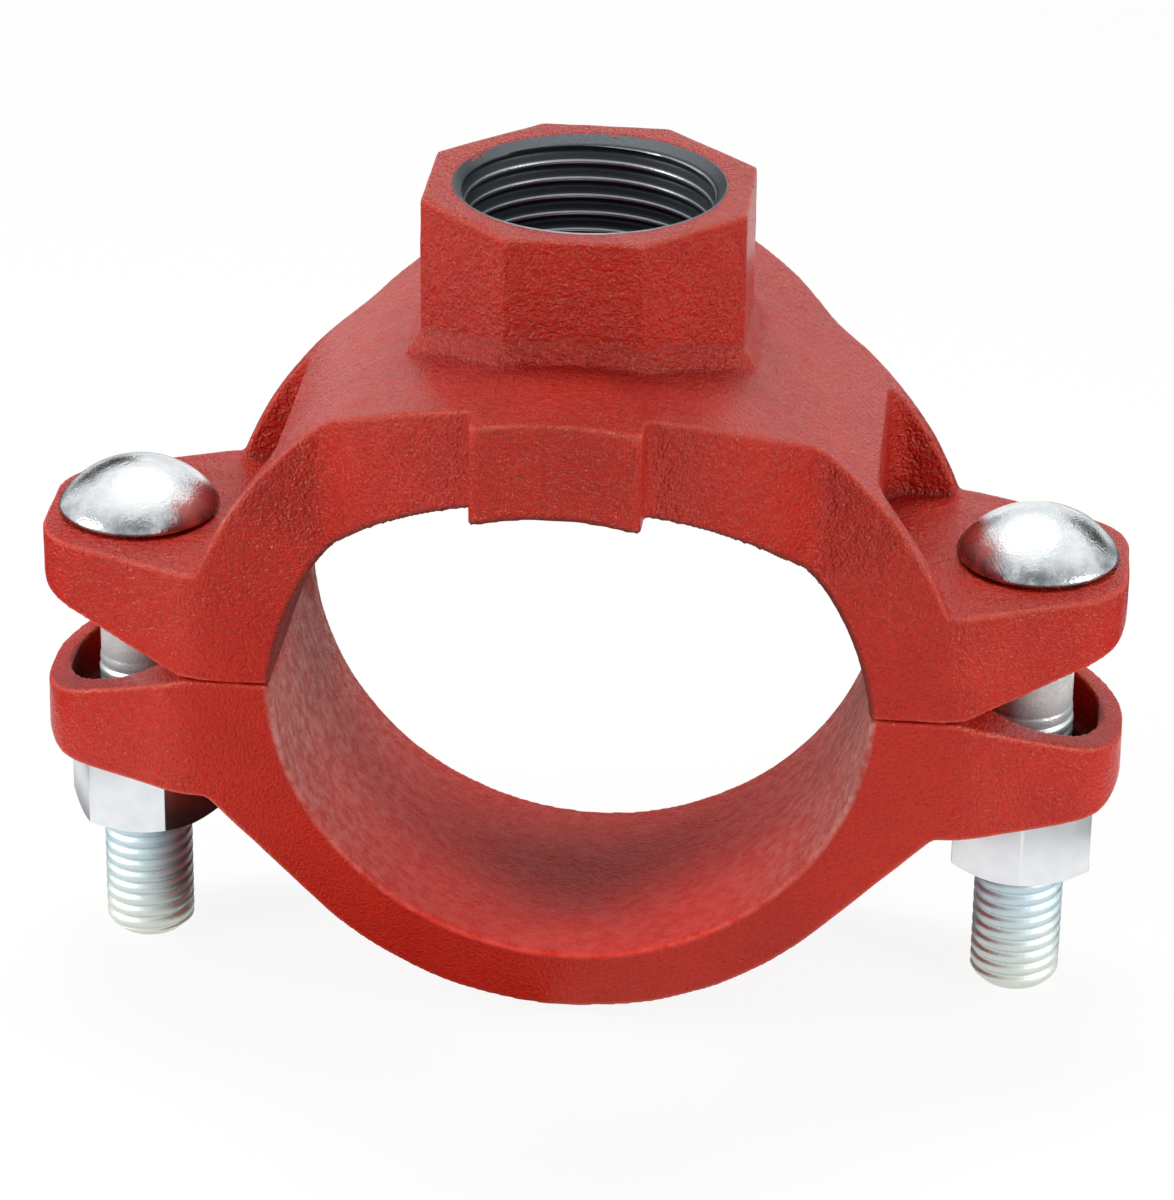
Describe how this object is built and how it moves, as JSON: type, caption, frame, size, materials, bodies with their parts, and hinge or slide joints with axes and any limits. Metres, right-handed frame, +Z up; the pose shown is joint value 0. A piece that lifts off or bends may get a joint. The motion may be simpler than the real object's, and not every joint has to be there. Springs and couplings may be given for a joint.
{
  "type": "threaded mechanical tee",
  "caption": "Bolted saddle branch for a pipe: an outlet housing with an octagonal threaded boss, a lower strap, a ring gasket, domed track bolts and hex nuts.",
  "frame": {"origin": "where the run pipe's axis crosses the outlet's axis, taken from the outlet housing's saddle", "axes": "+Z up the threaded outlet, +Y along the run pipe, +X towards the right bolt"},
  "size_m": [0.141, 0.081, 0.1097],
  "materials": {
    "red_paint": "semi-gloss red paint over sand-cast ductile iron",
    "zinc_bolt": "bright zinc plate, cloudy on the domed heads",
    "zinc_nut": "pale satin zinc plate",
    "black_rubber": "matt moulded rubber"
  },
  "bodies": {
    "outlet": {"outlet_housing": "red_paint", "gasket": "black_rubber", "left_bolt": "zinc_bolt", "right_bolt": "zinc_bolt"},
    "strap": {"strap_housing": "red_paint"},
    "left_nut": {"left_nut": "zinc_nut"},
    "right_nut": {"right_nut": "zinc_nut"}
  },
  "joints": [
    {"name": "strap_slide", "type": "slide", "parent": "outlet", "child": "strap", "axis": [0, 0, -1], "range_m": [0, 0.0175]},
    {"name": "left_nut_turn", "type": "hinge", "parent": "strap", "child": "left_nut", "pos_m": [-0.05828, 0, -0.0195], "axis": [0, 0, -1], "range_deg": [0, 3600]},
    {"name": "right_nut_turn", "type": "hinge", "parent": "strap", "child": "right_nut", "pos_m": [0.05828, 0, -0.0195], "axis": [0, 0, -1], "range_deg": [0, 3600]}
  ],
  "couplings": [
    {"joint": "left_nut_turn", "follows": "strap_slide", "rad_per_m": 3590.4},
    {"joint": "right_nut_turn", "follows": "strap_slide", "rad_per_m": 3590.4}
  ]
}
